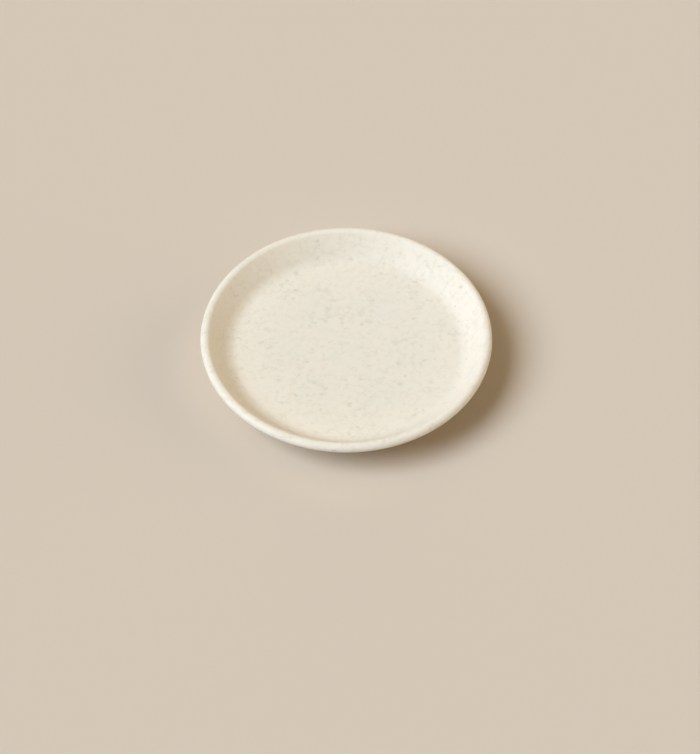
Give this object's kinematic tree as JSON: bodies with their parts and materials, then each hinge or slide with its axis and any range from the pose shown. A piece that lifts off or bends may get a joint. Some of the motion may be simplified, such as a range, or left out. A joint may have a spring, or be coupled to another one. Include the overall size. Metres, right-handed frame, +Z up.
{
  "type": "magnetic pin bowl",
  "caption": "Shallow round pin dish with a coved wall, a foot ring with a snap-in base cover and disc magnets hidden under the floor.",
  "frame": {"origin": "middle of the bowl on the surface it stands on", "axes": "+Z up along the bowl's axis, +X through the first magnet of the ring, between two feet"},
  "size_m": [0.082, 0.082, 0.0143],
  "materials": {
    "dish": "satin, cream, filled with fine plant fibre that shows as faint specks",
    "cover": "satin, cream, moulded in the same fibre-filled plastic as the dish",
    "magnet": "bright nickel plate",
    "keeper": "zinc-plated sheet",
    "foam": "closed-cell foam",
    "foot": "frosted silicone"
  },
  "bodies": {
    "root": {"dish": "dish", "magnet_1": "magnet", "magnet_2": "magnet", "magnet_3": "magnet", "magnet_4": "magnet", "magnet_5": "magnet", "magnet_6": "magnet", "magnet_7": "magnet", "keeper_plate": "keeper", "foam_pad": "foam", "base_cover": "cover", "foot_1": "foot", "foot_2": "foot", "foot_3": "foot", "foot_4": "foot"}
  },
  "joints": []
}
